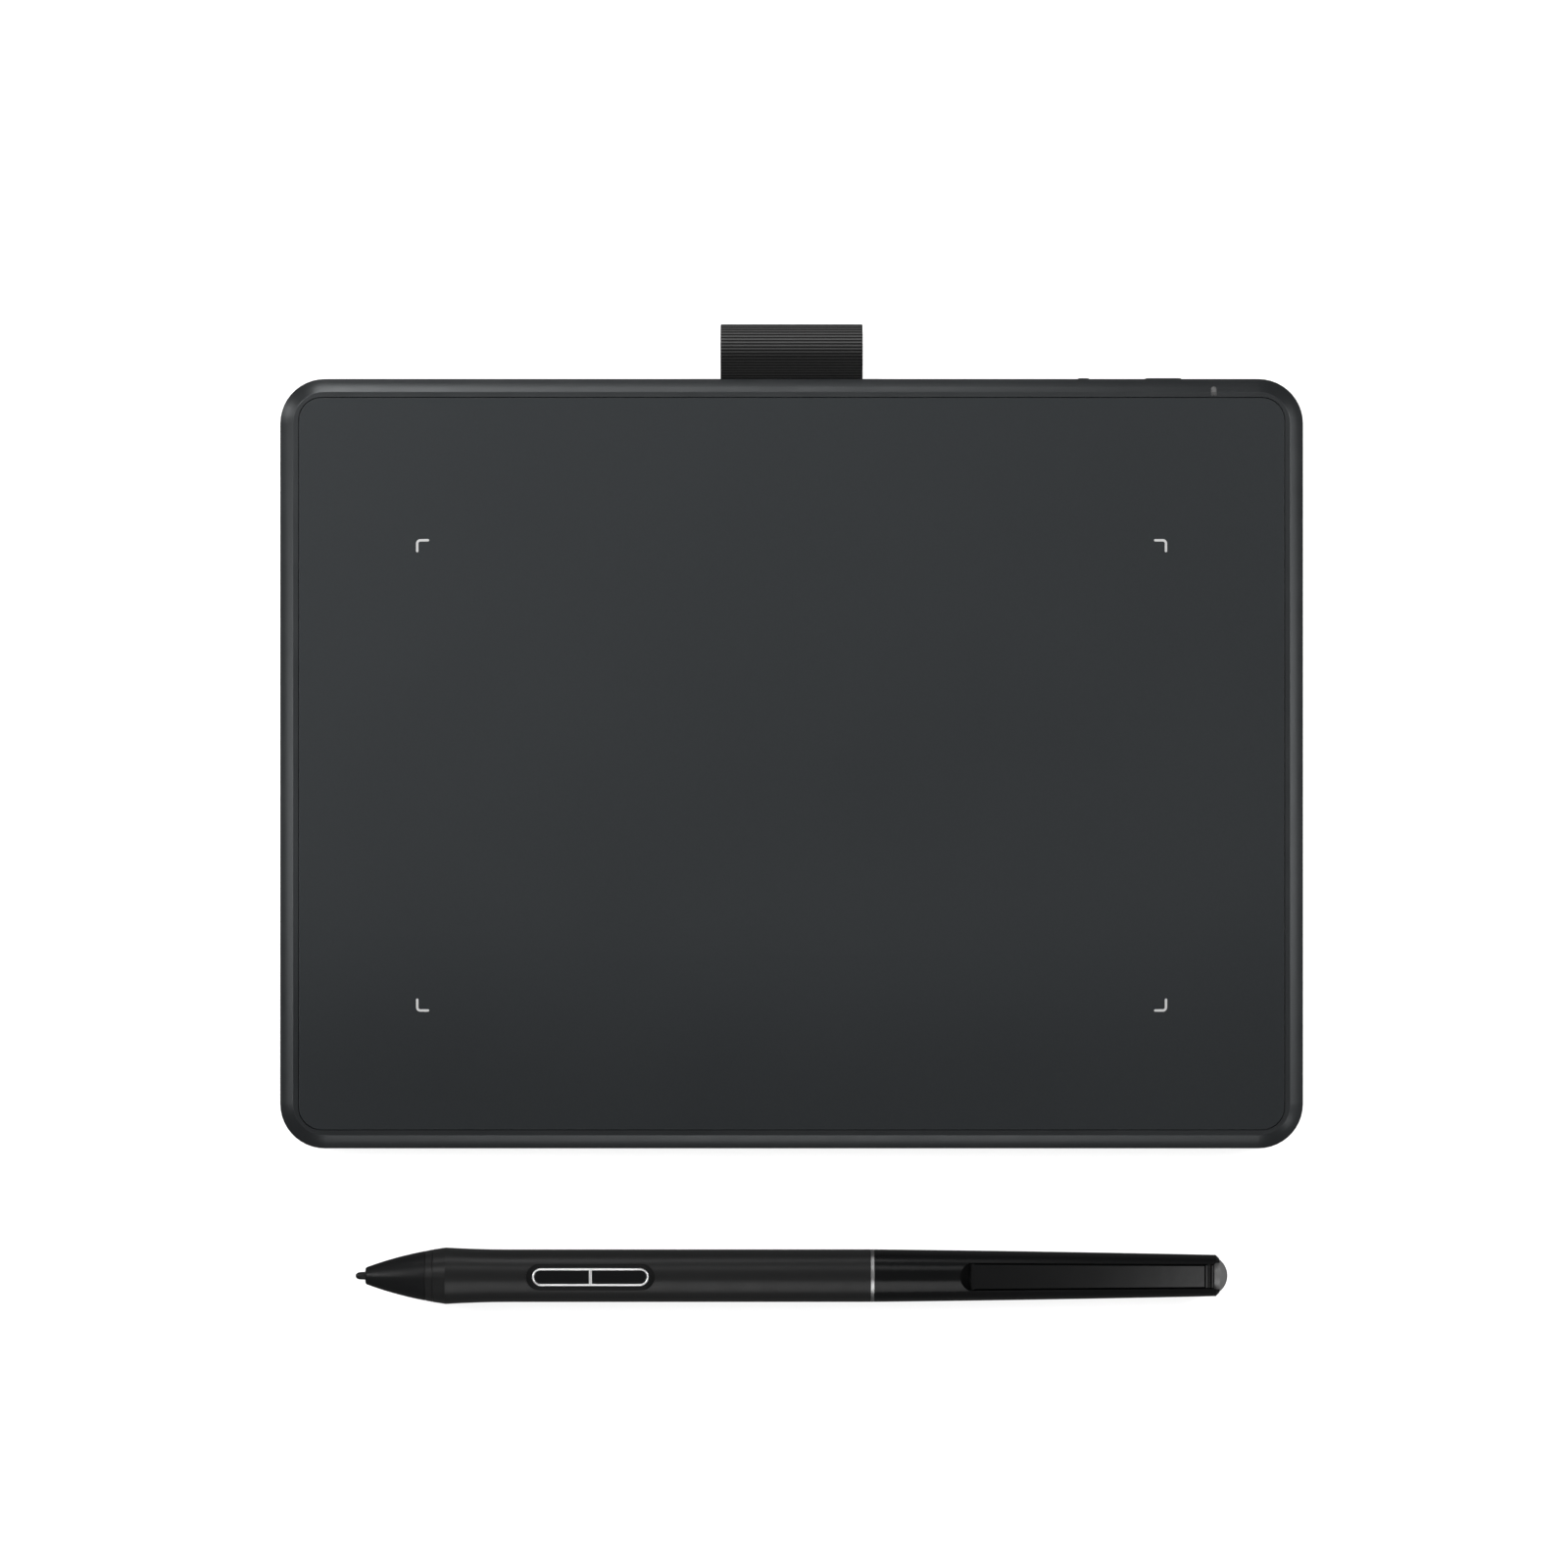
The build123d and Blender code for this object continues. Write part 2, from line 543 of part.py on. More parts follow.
with BuildPart(pen) as pen_key_frame:
    with BuildSketch(pen.offset(key_foot - 0.3)):
        with Locations((keys_x, 0)):
            SlotOverall(keys_length, keys_width)
            SlotOverall(keys_length - 2 * frame_thick, keys_width - 2 * frame_thick, mode=Mode.SUBTRACT)
            Rectangle(key_bar, keys_width - frame_thick)
    extrude(amount=frame_top - key_foot + 0.3)
    fillet(pen_key_frame.faces().sort_by(Axis(pen.origin, upward))[-1].edges(), 0.18)
save(pen_key_frame, "pen_key_frame")

key_fit = 0.07
for end, side in (("front", -1), ("rear", 1)):
    with BuildPart(pen) as pen_key:
        with BuildSketch(pen.offset(key_foot)):
            with Locations((keys_x, 0)):
                inner = 2 * (frame_thick + key_fit)
                SlotOverall(keys_length - inner, keys_width - inner)
            with Locations((keys_x - side * keys_length / 2, 0)):
                Rectangle(keys_length + key_bar + 2 * key_fit, keys_width, mode=Mode.SUBTRACT)
        extrude(amount=key_top - key_foot)
        fillet(pen_key.faces().sort_by(Axis(pen.origin, upward))[-1].edges(), 0.18)
        slab(keys_x + side * 6.5 - 1, keys_x + side * 6.5 + 1, -0.9, 0.9, key_foot - 0.35, key_foot)
    save(pen_key, f"pen_{end}_key")

with BuildPart(pen) as pen_ring:
    tube(ring_x, ring_x + ring_thick, barrel_radius)
    tube(ring_x, ring_x + ring_thick, bore_radius, mode=Mode.SUBTRACT)
    chamfer(pen_ring.edges().filter_by(GeomType.CIRCLE).group_by(SortBy.RADIUS)[-1], 0.1)
save(pen_ring, "pen_ring")

# ---- Pen: rear barrel, clip and cap -------------------------------------------------

# the clip's flat top runs between these points of the barrel's surface
end_barrel_radius, root_barrel_radius = 5.35, 4.46
facet_start = sqrt(end_barrel_radius**2 - clip_half**2)
facet_end = sqrt(root_barrel_radius**2 - clip_root_half**2)
facet_slope = (facet_end - facet_start) / (clip_root - clip_end)
half_slope = (clip_root_half - clip_half) / (clip_root - clip_end)
anchor_x0, anchor_x1 = 181.0, cap_front - 0.1  # ends of the plug behind the clip's root
anchor_slot, anchor_slot_width = 181.7, 0.6    # slot across its top
channel_gap = 0.3                           # air under the clip


def facet(x):
    """Height of the clip's flat top above the pen's axis."""
    return facet_start + facet_slope * (x - clip_end)


def channel_floor(x):
    """Height of the floor of the clip's channel."""
    return facet(x) - clip_thick - channel_gap


def half_width(x):
    """Half the width of the clip's channel."""
    return clip_half + half_slope * (x - clip_end)


def taper_plan(x0, x1, fit):
    """Plan of a piece that fills the channel from x0 to x1, but for the fit at its sides."""
    Polyline(
        (x0, half_width(x0) - fit), (x1, half_width(x1) - fit),
        (x1, fit - half_width(x1)), (x0, fit - half_width(x0)), (x0, half_width(x0) - fit),
    )


# the hollow for the clip, in the pen's own frame, deeper at its round end for a fingertip
far = tail_x + 3
with BuildPart() as clip_channel:
    with BuildSketch(Plane.XZ):
        with BuildLine():
            Polyline(
                (clip_end - 4, 2.5), (clip_end + 2, 2.5), (clip_end + 6, channel_floor(clip_end + 6)),
                (far, channel_floor(far)), (far, 8), (clip_end - 4, 8), (clip_end - 4, 2.5),
            )
        make_face()
    extrude(amount=clip_half + 4, both=True)
    with BuildSketch():
        with BuildLine():
            ThreePointArc((clip_end, clip_half), (clip_end - notch_reach, 0), (clip_end, -clip_half))
            mouth, flare = half_width(cap_front), far - cap_front
            Polyline(
                (clip_end, -clip_half), (cap_front, -mouth), (far, -mouth - flare),
                (far, mouth + flare), (cap_front, mouth), (clip_end, clip_half),
            )
        make_face()
    extrude(amount=9, mode=Mode.INTERSECT)

hook_x, hook_half, hook_foot = 179.6, 0.6, 1.4   # hook under the clip's root
hook_width = 3.0
cap_stem, stem_radius = 1.7, 1.27                # stem that holds the tail cap

with BuildPart(pen) as pen_rear_barrel:
    with BuildSketch(pen_side):
        with BuildLine():
            ThreePointArc((rear_start, barrel_radius), (147, 5.11), (tail_x, tail_radius))
            Polyline(
                (tail_x, tail_radius), (tail_x + tail_bevel, tail_radius - tail_bevel),
                (tail_x + tail_bevel, 0), (rear_start, 0), (rear_start, barrel_radius),
            )
        make_face()
    revolve(axis=pen_axis)
    # spigot into the front barrel, the hollow behind it, and the bore for the tail cap
    tube(rear_start - 6, rear_start + 0.5, bore_radius - 0.03)
    tube(rear_start - 7, clip_end - 6, 3.2, mode=Mode.SUBTRACT)
    tube(cap_front - 0.02, tail_x + 2, cap_radius + 0.03, mode=Mode.SUBTRACT)
    tube(cap_front - cap_stem - 0.02, tail_x, stem_radius + 0.03, mode=Mode.SUBTRACT)
    add(clip_channel.part, mode=Mode.SUBTRACT)
    # pocket for the clip's hook
    slab(hook_x - hook_half - 0.15, hook_x + hook_half + 0.15, -hook_width / 2 - 0.1, hook_width / 2 + 0.1,
         hook_foot - 0.15, 4, mode=Mode.SUBTRACT)
save(pen_rear_barrel, "pen_rear_barrel")

with BuildPart(pen) as pen_clip:
    clip_back = anchor_x0 - 0.15
    with BuildSketch(pen_side):
        with BuildLine():
            Polyline(
                (clip_end, facet(clip_end) - clip_thick), (clip_end, facet(clip_end) - 0.75),
                (clip_end + 1.25, facet(clip_end + 1.25)), (clip_back, facet(clip_back)),
                (clip_back, facet(clip_back) - clip_thick), (clip_end, facet(clip_end) - clip_thick),
            )
        make_face()
    extrude(amount=clip_half + 1, both=True)
    with BuildSketch(pen):
        with BuildLine():
            taper_plan(clip_end - 1, clip_back, clip_fit)
        make_face()
    extrude(amount=9, mode=Mode.INTERSECT)
    chamfer(tops(pen_clip)[-1].edges().sort_by(SortBy.LENGTH)[-2:], 0.32)
    slab(hook_x - hook_half, hook_x + hook_half, -hook_width / 2, hook_width / 2,
         hook_foot, facet(hook_x) - clip_thick + 0.2)
save(pen_clip, "pen_clip")

with BuildPart(pen) as pen_clip_anchor:
    # a plug behind the clip's root, with a slot across its top
    with BuildSketch(pen_side):
        with BuildLine():
            Polyline(
                (anchor_x0, channel_floor(anchor_x0)), (anchor_x0, facet(anchor_x0)),
                (anchor_x1, facet(anchor_x1)), (anchor_x1, channel_floor(anchor_x1)),
                (anchor_x0, channel_floor(anchor_x0)),
            )
        make_face()
    extrude(amount=clip_half + 1, both=True)
    with BuildSketch(pen):
        with BuildLine():
            taper_plan(anchor_x0, anchor_x1, clip_fit)
        make_face()
    extrude(amount=9, mode=Mode.INTERSECT)
    slab(anchor_slot, anchor_slot + anchor_slot_width, -3, 3, facet(anchor_x0) - 1.2, 8, mode=Mode.SUBTRACT)
    fillet([face.edges() for face in tops(pen_clip_anchor).sort_by(Axis(pen.origin, upward))[-2:]], 0.2)
save(pen_clip_anchor, "pen_clip_anchor")

with BuildPart(pen) as pen_tail_cap:
    with BuildSketch(pen_side):
        with BuildLine():
            dome_x = tail_x + tail_bevel
            Polyline((pen_length, 0), (cap_front, 0), (cap_front, cap_radius), (dome_x, cap_radius))
            TangentArc((pen_length, 0), (dome_x, cap_radius), tangent=(0, 1))
        make_face()
    revolve(axis=pen_axis)
    tube(cap_front - cap_stem, cap_front + 0.5, stem_radius)
save(pen_tail_cap, "pen_tail_cap")

# ---- Pen: inside --------------------------------------------------------------------

chassis_x0, chassis_x1, deck = 24.7, 104.0, 1.2
cup_x0, cup_x1 = 19.2, 24.5
pen_board_top = deck + 0.8
switch_top = key_foot - 0.35 - key_travel - 0.05

with BuildPart(pen) as pen_ferrite_core:
    tube(8.6, 18.8, 1.55)
    tube(8.6, 18.8, 0.95, mode=Mode.SUBTRACT)
save(pen_ferrite_core, "pen_ferrite_core")

with BuildPart(pen) as pen_coil:
    tube(9.4, 16.6, 2.4)
    tube(9.4, 16.6, 1.6, mode=Mode.SUBTRACT)
    fillet(pen_coil.edges().filter_by(GeomType.CIRCLE).group_by(SortBy.RADIUS)[-1], 0.3)
save(pen_coil, "pen_coil")

with BuildPart(pen) as pen_pressure_sensor:
    tube(cup_x0, cup_x1, 3.7)
    tube(cup_x0 - 1, nib_end + nib_travel + 0.15, 0.8, mode=Mode.SUBTRACT)
save(pen_pressure_sensor, "pen_pressure_sensor")

with BuildPart(pen) as pen_chassis:
    tube(chassis_x0, chassis_x1, 3.85)
    slab(chassis_x0 - 1, chassis_x1 + 1, -4, 4, deck, 4, mode=Mode.SUBTRACT)
    # hollows underneath that save weight
    for middle in (37, 52, 67, 82, 95):
        slab(middle - 5, middle + 5, -2.2, 2.2, -4, -1.2, mode=Mode.SUBTRACT)
save(pen_chassis, "pen_chassis")

with BuildPart(pen) as pen_board:
    slab(chassis_x0 + 1, chassis_x1 - 1, -3.3, 3.3, deck, pen_board_top)
save(pen_board, "pen_board")

with BuildPart(pen) as pen_tact_switches:
    for side in (-1, 1):
        x = keys_x + side * 6.5
        slab(x - 1.5, x + 1.5, -1.5, 1.5, pen_board_top, switch_top - 0.3)
        slab(x - 0.7, x + 0.7, -0.7, 0.7, switch_top - 0.3, switch_top)
save(pen_tact_switches, "pen_tact_switches")
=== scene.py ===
"""Looks of a slim pen drawing tablet and its pen, in metres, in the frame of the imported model."""

from bisect import bisect
from math import cos, hypot, pi, radians, sin, sqrt

import bpy
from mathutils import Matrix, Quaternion, Vector


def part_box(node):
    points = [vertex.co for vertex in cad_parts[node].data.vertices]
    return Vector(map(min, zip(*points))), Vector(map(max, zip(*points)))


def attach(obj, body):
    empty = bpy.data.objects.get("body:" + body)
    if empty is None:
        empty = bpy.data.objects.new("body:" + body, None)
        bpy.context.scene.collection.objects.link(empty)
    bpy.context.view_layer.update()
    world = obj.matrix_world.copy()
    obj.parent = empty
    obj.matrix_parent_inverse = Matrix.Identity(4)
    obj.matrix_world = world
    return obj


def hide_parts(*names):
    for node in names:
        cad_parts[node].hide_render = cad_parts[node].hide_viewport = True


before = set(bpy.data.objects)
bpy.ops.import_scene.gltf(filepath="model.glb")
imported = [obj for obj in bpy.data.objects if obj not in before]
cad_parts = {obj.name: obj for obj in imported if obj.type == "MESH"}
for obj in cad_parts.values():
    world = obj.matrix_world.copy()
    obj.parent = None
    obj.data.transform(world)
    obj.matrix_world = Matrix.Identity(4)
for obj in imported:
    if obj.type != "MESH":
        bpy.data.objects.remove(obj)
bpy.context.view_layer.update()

MM = 0.001

# ---- Places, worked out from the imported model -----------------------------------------

casing_low, casing_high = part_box("top_cover")
sheet_low, sheet_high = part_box("drawing_surface")
loop_low, loop_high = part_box("pen_loop")
rod_low, rod_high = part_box("loop_rod")
middle = Vector((
    (casing_low.x + casing_high.x) / 2, (sheet_low.y + sheet_high.y) / 2, casing_high.z,
))
rear_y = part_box("bottom_cover")[1].y

# ---- Camera ---------------------------------------------------------------------------

VIEW_WIDTH = 333.8 * MM          # what the picture spans at the height of the tablet's top
VIEW_SHIFT = Vector((-1.62 * MM, -4.33 * MM, 0))    # from the tablet's middle to the picture's


def make_camera():
    """A long lens that looks straight down."""
    data = bpy.data.cameras.new("camera")
    data.lens = 180
    data.sensor_width = 36
    camera = bpy.data.objects.new("camera", data)
    bpy.context.scene.collection.objects.link(camera)
    distance = VIEW_WIDTH * data.lens / data.sensor_width
    camera.location = middle + VIEW_SHIFT + Vector((0, 0, distance))
    data.clip_start = 0.1
    data.clip_end = 20
    bpy.context.scene.camera = camera


# ---- Tools for materials --------------------------------------------------------------

SPREAD = (0.3, 0.7)              # the part of a noise's range that a ramp spreads over
THREADS = (0.2, 0.8)             # the same, for the waves of a weave


class Look:
    """A procedural material in object coordinates, built round one Principled shader."""

    def __init__(self, name, **sockets):
        self.material = bpy.data.materials.new(name)
        self.material.use_nodes = True
        tree = self.material.node_tree
        self.nodes, self.links = tree.nodes, tree.links
        self.shader = self.nodes["Principled BSDF"]
        for socket, value in sockets.items():
            self.shader.inputs[socket.replace("_", " ")].default_value = value
        self.coordinates = self.nodes.new("ShaderNodeTexCoord").outputs["Object"]

    def join(self, output, target):
        self.links.new(output, target)

    def stretched(self, stretch):
        """Object coordinates scaled along each axis, for grain that runs one way."""
        mapping = self.nodes.new("ShaderNodeMapping")
        mapping.inputs["Scale"].default_value = stretch
        self.join(self.coordinates, mapping.inputs["Vector"])
        return mapping.outputs["Vector"]

    def along(self, axis):
        """The distance along one axis of the shared frame, in metres."""
        node = self.nodes.new("ShaderNodeSeparateXYZ")
        self.join(self.coordinates, node.inputs[0])
        return node.outputs[axis]

    def noise(self, size, detail=2.0, roughness=0.5, vector=None):
        """Cloudy noise whose features are about size across."""
        node = self.nodes.new("ShaderNodeTexNoise")
        node.inputs["Scale"].default_value = 1 / size
        node.inputs["Detail"].default_value = detail
        node.inputs["Roughness"].default_value = roughness
        self.join(vector or self.coordinates, node.inputs["Vector"])
        return node.outputs["Fac"]

    def cells(self, size):
        """Distance to the middle of Voronoi cells about size across."""
        node = self.nodes.new("ShaderNodeTexVoronoi")
        node.inputs["Scale"].default_value = 1 / size
        self.join(self.coordinates, node.inputs["Vector"])
        return node.outputs["Distance"]

    def waves(self, size, distortion=0.0):
        """Parallel waves across X, size apart."""
        node = self.nodes.new("ShaderNodeTexWave")
        node.wave_type = "BANDS"
        node.bands_direction = "X"
        node.inputs["Scale"].default_value = pi / 10 / size
        node.inputs["Distortion"].default_value = distortion
        self.join(self.coordinates, node.inputs["Vector"])
        return node.outputs["Fac"]

    def ramp(self, source, low, high, start=0.0, end=1.0):
        """A colour or number that goes from low to high as source goes from start to end."""
        if isinstance(low, tuple):
            node = self.nodes.new("ShaderNodeValToRGB")
            first, last = node.color_ramp.elements
            first.position, last.position = start, end
            first.color, last.color = (*low, 1), (*high, 1)
            self.join(source, node.inputs["Fac"])
            return node.outputs["Color"]
        node = self.nodes.new("ShaderNodeMapRange")
        node.inputs["From Min"].default_value = start
        node.inputs["From Max"].default_value = end
        node.inputs["To Min"].default_value = low
        node.inputs["To Max"].default_value = high
        self.join(source, node.inputs["Value"])
        return node.outputs["Result"]

    def blend(self, first, second, factor):
        """Two colours mixed by a factor."""
        node = self.nodes.new("ShaderNodeMix")
        node.data_type = "RGBA"
        self.join(factor, node.inputs["Factor"])
        self.join(first, node.inputs["A"])
        self.join(second, node.inputs["B"])
        return node.outputs["Result"]

    def total(self, first, second, operation="ADD"):
        """The sum, or another operation, of two numbers."""
        node = self.nodes.new("ShaderNodeMath")
        node.operation = operation
        for number, value in enumerate((first, second)):
            if hasattr(value, "node"):
                self.join(value, node.inputs[number])
            else:
                node.inputs[number].default_value = value
        return node.outputs["Value"]

    def colour(self, output):
        self.join(output, self.shader.inputs["Base Color"])

    def gloss(self, output):
        self.join(output, self.shader.inputs["Roughness"])

    def relief(self, output, depth):
        """Bumps of that depth in metres, on top of any relief that's there already."""
        node = self.nodes.new("ShaderNodeBump")
        node.inputs["Distance"].default_value = depth
        node.inputs["Strength"].default_value = 1.0
        self.join(output, node.inputs["Height"])
        earlier = self.shader.inputs["Normal"].links
        if earlier:
            self.join(earlier[0].from_socket, node.inputs["Normal"])
        self.join(node.outputs["Normal"], self.shader.inputs["Normal"])


def grey(level, tint=0.0):
    """A grey with a little blue for a positive tint."""
    return (level * (1 - tint), level, level * (1 + tint))


def moulded(name, level, roughness, grain=0.25 * MM, depth=0.006 * MM, tint=0.04,
            specular=0.5, cool=0.0):
    """Moulded plastic: a fine spark-eroded grain, clouded gloss and a trace of colour drift."""
    look = Look(name, Specular_IOR_Level=specular, Specular_Tint=(1 - cool, 1 - cool / 3, 1, 1))
    drift = look.noise(40 * MM, 3)
    look.colour(look.ramp(drift, grey(level * 0.94, tint), grey(level * 1.06, tint), *SPREAD))
    cloud = look.noise(9 * MM, 4)
    look.gloss(look.ramp(cloud, roughness - 0.03, roughness + 0.03, *SPREAD))
    look.relief(look.noise(grain, 3, 0.6), depth)
    return look


# ---- Materials ------------------------------------------------------------------------


def casing_material():
    return moulded("casing", 0.009, 0.33, grain=0.22 * MM, depth=0.004 * MM, tint=0.08,
                   specular=0.35, cool=0.06)


def sheet_material():
    """A paper-like drawing sheet: fine tooth, faint rubbed patches where the hand moves."""
    look = Look("sheet", Specular_IOR_Level=0.26, Specular_Tint=(0.90, 0.97, 1, 1))
    speckle = look.noise(0.35 * MM, 2, 0.7)
    look.colour(look.ramp(speckle, grey(0.0080, 0.10), grey(0.0094, 0.10), 0.35, 0.65))
    rubbed = look.noise(55 * MM, 3, 0.5)
    look.gloss(look.ramp(rubbed, 0.435, 0.465, 0.35, 0.65))
    look.relief(look.cells(0.3 * MM), 0.003 * MM)
    look.relief(look.noise(0.12 * MM, 2, 0.6), 0.002 * MM)
    return look


def bottom_material():
    return moulded("bottom_cover", 0.016, 0.52, grain=0.5 * MM, depth=0.012 * MM)


def ink_material():
    look = Look("mark_ink", Roughness=0.6, Specular_IOR_Level=0.3)
    look.colour(look.ramp(look.noise(0.2 * MM, 3), grey(0.29), grey(0.34), *SPREAD))
    look.relief(look.noise(0.1 * MM, 2), 0.002 * MM)
    return look


def rubber_material():
    level = 0.012
    look = Look("foot_rubber", Specular_IOR_Level=0.35)
    look.colour(look.ramp(look.noise(3 * MM, 4), grey(level * 0.85), grey(level * 1.2), *SPREAD))
    look.gloss(look.ramp(look.noise(0.6 * MM, 3), 0.68, 0.8, *SPREAD))
    look.relief(look.cells(0.45 * MM), 0.02 * MM)
    return look


def steel_material(name, level, roughness, grain=(1, 40, 40)):
    """Drawn or rolled steel with fine lines along one way."""
    look = Look(name, Metallic=1.0)
    lines = look.noise(0.8 * MM, 4, 0.6, look.stretched(grain))
    look.colour(look.ramp(lines, grey(level * 0.88), grey(level * 1.08), *SPREAD))
    look.gloss(look.ramp(lines, roughness - 0.06, roughness + 0.08, *SPREAD))
    look.relief(lines, 0.003 * MM)
    return look


def plated_material(name, level):
    """Satin plating with the faintest clouding."""
    look = Look(name, Metallic=1.0)
    look.colour(look.ramp(look.noise(4 * MM, 2), grey(0.95 * level), grey(1.05 * level), *SPREAD))
    look.gloss(look.ramp(look.noise(1.5 * MM, 4), 0.33, 0.41, *SPREAD))
    return look


GUIDE_DIP = (2.95 * MM, 2.75 * MM)      # in front of the rear edge, where the guide turns down and its painted highlight fades in


def guide_material():
    """Milky light guide, unlit, with a painted highlight where it dips over the sloped edge."""
    look = Look("light_guide", IOR=1.49, Specular_IOR_Level=0.5)
    cloud = look.noise(0.8 * MM, 3)
    flat = look.ramp(cloud, grey(0.030), grey(0.036), *SPREAD)
    # Painted highlight: a paler tone where the guide dips over the sloped edge that faces the
    # light.
    painted_highlight = look.ramp(cloud, grey(0.058), grey(0.072), *SPREAD)
    painted_highlight_mask = look.ramp(look.along("Y"), 0.0, 1.0, rear_y - GUIDE_DIP[0], rear_y - GUIDE_DIP[1])
    look.colour(look.blend(flat, painted_highlight, painted_highlight_mask))
    look.gloss(look.ramp(look.noise(0.5 * MM, 2), 0.25, 0.35, *SPREAD))
    return look


def board_material():
    """Circuit board: solder mask over tracks and rows of pads."""
    look = Look("circuit_board", Specular_IOR_Level=0.5, Coat_Weight=0.3, Coat_Roughness=0.15)
    track = look.waves(1.6 * MM, 6.0)
    mask = look.ramp(track, (0.006, 0.055, 0.022), (0.012, 0.10, 0.038), 0.45, 0.55)
    pads = look.ramp(look.cells(2.4 * MM), (1, 1, 1), (0, 0, 0), 0.10, 0.13)
    tin = look.ramp(look.noise(0.3 * MM, 2), grey(0.45), grey(0.6), *SPREAD)
    look.colour(look.blend(mask, tin, pads))
    look.gloss(look.ramp(look.noise(2 * MM, 3), 0.28, 0.4, *SPREAD))
    look.relief(track, 0.02 * MM)
    return look


def foil_material(name, level):
    """Rolled foil with a faint crinkle."""
    look = Look(name, Metallic=1.0)
    rolled = look.noise(1.2 * MM, 4, 0.6, look.stretched((1, 18, 1)))
    look.colour(look.ramp(rolled, grey(level * 0.9), grey(level * 1.05), *SPREAD))
    look.gloss(look.ramp(rolled, 0.28, 0.42, *SPREAD))
    look.relief(look.noise(7 * MM, 4), 0.06 * MM)
    return look


def connector_material():
    return moulded("connector_nylon", 0.6, 0.45, grain=0.3 * MM, tint=-0.06)


def chip_material():
    return moulded("chip_resin", 0.012, 0.55, grain=0.12 * MM, depth=0.01 * MM)


def insulation_material(name, colour):
    look = Look(name, Specular_IOR_Level=0.4)
    darker = tuple(0.75 * part for part in colour)
    look.colour(look.ramp(look.noise(2 * MM, 3), darker, colour, *SPREAD))
    look.gloss(look.ramp(look.noise(1 * MM, 3), 0.42, 0.55, *SPREAD))
    return look


def ribbon_material():
    """Polyimide film with parallel copper tracks."""
    look = Look("ribbon_film", Specular_IOR_Level=0.5)
    tracks = look.waves(1.0 * MM)
    look.colour(look.ramp(tracks, (0.35, 0.13, 0.02), (0.62, 0.27, 0.07), 0.45, 0.55))
    look.gloss(look.ramp(look.noise(2 * MM, 2), 0.22, 0.32, *SPREAD))
    look.relief(tracks, 0.02 * MM)
    return look


def lamp_material():
    look = Look("lamp_resin", Transmission_Weight=0.6, IOR=1.5)
    look.colour(look.ramp(look.noise(0.6 * MM, 2), (0.8, 0.8, 0.62), (0.9, 0.9, 0.8), *SPREAD))
    look.gloss(look.ramp(look.noise(0.3 * MM, 2), 0.1, 0.2, *SPREAD))
    return look


def ferrite_material():
    return moulded("ferrite", 0.03, 0.5, grain=0.15 * MM, depth=0.01 * MM)


def copper_material():
    """Fine enamelled windings round the coil."""
    look = Look("coil_copper", Metallic=1.0)
    turns = look.waves(0.12 * MM, 0.4)
    look.colour(look.ramp(turns, (0.45, 0.14, 0.05), (0.85, 0.38, 0.18), 0.1, 0.8))
    look.gloss(look.ramp(look.noise(1 * MM, 2), 0.25, 0.35, *SPREAD))
    look.relief(turns, 0.04 * MM)
    return look


def grip_material():
    """Soft-touch coating of the pen's front barrel."""
    look = Look("grip_coating", Specular_IOR_Level=0.12)
    look.colour(look.ramp(look.noise(12 * MM, 4), grey(0.0088, 0.01), grey(0.0100, 0.01), *SPREAD))
    look.gloss(look.ramp(look.noise(5 * MM, 4), 0.29, 0.35, *SPREAD))
    look.relief(look.noise(0.10 * MM, 3, 0.6), 0.0015 * MM)
    return look


def gloss_black(name, level, roughness, specular):
    """Semi-gloss black plastic with the faintest flow marks and hairline scratches."""
    look = Look(name, Specular_IOR_Level=specular)
    drift = look.noise(15 * MM, 3)
    look.colour(look.ramp(drift, grey(level * 0.9, 0.04), grey(level * 1.1, 0.04), *SPREAD))
    hairlines = look.noise(1.5 * MM, 5, 0.6, look.stretched((0.15, 6, 6)))
    look.gloss(look.ramp(hairlines, roughness - 0.012, roughness + 0.018, *SPREAD))
    look.relief(look.noise(3 * MM, 2), 0.003 * MM)
    return look


def cap_material():
    return moulded("tail_cap", 0.078, 0.34, grain=0.15 * MM, depth=0.003 * MM, tint=0.0)


LOOP_CREST = 6.4 * MM            # how far behind the casing the loop is highest
PAINTED_LIGHT_SPAN = (0.75, 1.25)              # where the painted highlight fades in on the band, as shares of the crest's distance
PAINTED_SHADE_START = 1.45                      # where painted shade starts to darken the band again towards its far end


def band_material(name, flat_tone, painted_lit_tone):
    """Elastic weave: fine warp threads across the ribs, with a painted highlight where the loop
    bends over and painted shade towards its far end.
    """
    look = Look(name, Roughness=0.6, Specular_IOR_Level=0.08, Sheen_Weight=0.03,
                Sheen_Roughness=0.4)
    # Painted highlight: a paler copy of the weave where the loop bends over to face the light, and
    # painted shade that darkens it again towards its far end.
    painted_light_from, painted_light_to = (rear_y + share * LOOP_CREST for share in PAINTED_LIGHT_SPAN)
    painted_light_share = look.ramp(look.along("Y"), 0.0, 1.0, painted_light_from, painted_light_to)
    painted_shade_share = look.ramp(look.along("Y"), 0.0, 0.7, rear_y + PAINTED_SHADE_START * LOOP_CREST, loop_high.y)
    threads = look.waves(0.22 * MM, 0.6)
    fibre = look.noise(0.12 * MM, 3, 0.6)
    weave = look.total(look.total(threads, fibre), 0.5, "MULTIPLY")
    flat = look.ramp(weave, grey(0.7 * flat_tone), grey(1.3 * flat_tone), *THREADS)
    painted_lit = look.ramp(weave, grey(0.7 * painted_lit_tone), grey(1.3 * painted_lit_tone), *THREADS)
    look.colour(look.blend(look.blend(flat, painted_lit, painted_light_share), flat, painted_shade_share))
    look.relief(threads, 0.03 * MM)
    look.relief(fibre, 0.015 * MM)
    return look


